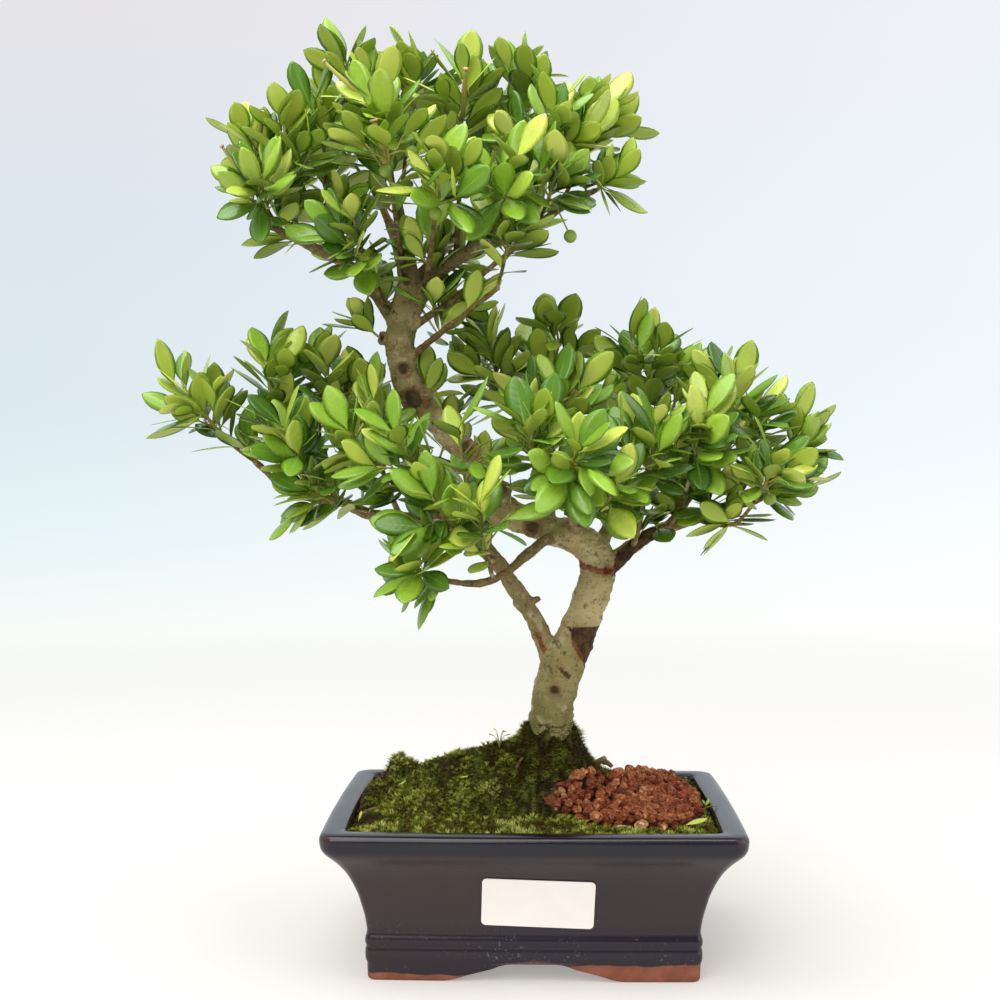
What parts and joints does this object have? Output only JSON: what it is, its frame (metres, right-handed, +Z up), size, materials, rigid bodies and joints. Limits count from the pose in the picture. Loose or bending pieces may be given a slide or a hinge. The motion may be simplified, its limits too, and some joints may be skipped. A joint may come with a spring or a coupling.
{
  "type": "japanese holly bonsai",
  "caption": "Dwarf holly trained as a curved upright bonsai, with tiers of small glossy leaves, growing from moss and clay granules in a rectangular glazed pot.",
  "frame": {"origin": "middle of the whole plant's footprint, on the surface that the pot stands on", "axes": "+Z up, the front of the pot with its label towards -Y, +X to the right seen from the front"},
  "size_m": [0.312, 0.1876, 0.4307],
  "materials": {
    "pot_glaze": "gloss",
    "screen_plastic": "matte",
    "label_paper": "satin",
    "soil": "matte",
    "moss": "matte",
    "fired_clay": "matte",
    "bark": "matte",
    "foliage": "satin"
  },
  "bodies": {
    "root": {"pot": "pot_glaze", "drain_screen_left": "screen_plastic", "drain_screen_right": "screen_plastic", "label": "label_paper", "soil": "soil", "moss_sheet": "moss", "moss_back_right": "moss", "moss_front_right": "moss", "granules": "fired_clay", "wood": "bark", "spray_crown_left_1": "foliage", "spray_crown_left_2": "foliage", "spray_crown_left_3": "foliage", "spray_crown_left_4": "foliage", "spray_crown_top_1": "foliage", "spray_crown_top_2": "foliage", "spray_crown_top_3": "foliage", "spray_crown_top_4": "foliage", "spray_crown_top_5": "foliage", "spray_crown_front_1": "foliage", "spray_crown_front_2": "foliage", "spray_crown_front_3": "foliage", "spray_crown_front_4": "foliage", "spray_crown_front_5": "foliage", "spray_crown_front_6": "foliage", "spray_crown_right_1": "foliage", "spray_crown_right_2": "foliage", "spray_crown_right_3": "foliage", "spray_crown_back_1": "foliage", "spray_crown_back_2": "foliage", "spray_crown_back_3": "foliage", "spray_left_1": "foliage", "spray_left_2": "foliage", "spray_left_3": "foliage", "spray_left_4": "foliage", "spray_left_5": "foliage", "spray_left_6": "foliage", "spray_left_7": "foliage", "spray_left_8": "foliage", "spray_front_1": "foliage", "spray_front_2": "foliage", "spray_front_3": "foliage", "spray_front_4": "foliage", "spray_front_5": "foliage", "spray_front_6": "foliage", "spray_front_7": "foliage", "spray_front_8": "foliage", "spray_middle_1": "foliage", "spray_middle_2": "foliage", "spray_middle_3": "foliage", "spray_right_1": "foliage", "spray_right_2": "foliage", "spray_right_3": "foliage", "spray_right_4": "foliage", "spray_right_5": "foliage", "spray_right_6": "foliage", "spray_right_7": "foliage", "spray_right_8": "foliage", "spray_right_9": "foliage", "spray_right_10": "foliage"}
  },
  "joints": []
}
